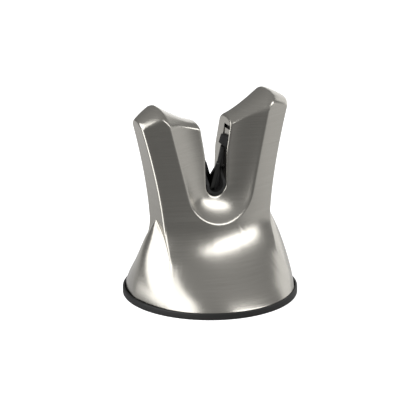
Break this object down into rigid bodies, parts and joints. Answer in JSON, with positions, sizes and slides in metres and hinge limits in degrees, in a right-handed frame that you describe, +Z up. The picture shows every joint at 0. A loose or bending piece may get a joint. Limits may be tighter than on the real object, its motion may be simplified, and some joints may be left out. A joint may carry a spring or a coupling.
{
  "type": "manual knife sharpener",
  "caption": "Worktop knife sharpener: a cast metal fork on a round flared skirt, crossed carbide cutters in its notch, and a press-on rubber suction foot.",
  "frame": {"origin": "centre of the foot's contact ring, on the worktop", "axes": "+Z up, +X towards the right arm, -Y is the front"},
  "size_m": [0.06, 0.06, 0.0711],
  "materials": {
    "cast_metal": "satin brushed nickel on a die casting",
    "black_nylon": "fine moulded grain",
    "carbide": "ground",
    "steel": "zinc plated",
    "black_plastic": "moulded",
    "foot_rubber": "satin rubber"
  },
  "bodies": {
    "foot": {"suction_cup": "foot_rubber"},
    "sharpener": {"cast_body": "cast_metal", "notch_liner": "black_nylon", "front_holder": "black_nylon", "rear_holder": "black_nylon", "front_cutter": "carbide", "rear_cutter": "carbide", "liner_screw": "steel", "liner_washer": "steel", "base_plate": "black_plastic", "base_screws": "steel", "cup_stud": "steel", "cup_washer": "steel", "cup_nut": "steel"}
  },
  "joints": [
    {"name": "press_down", "type": "slide", "parent": "foot", "child": "sharpener", "axis": [0, 0, -1], "range_m": [0, 0.0015], "stiffness_N_per_m": 3000, "springref_m": -0.0015, "deforming": ["suction_cup"]}
  ]
}
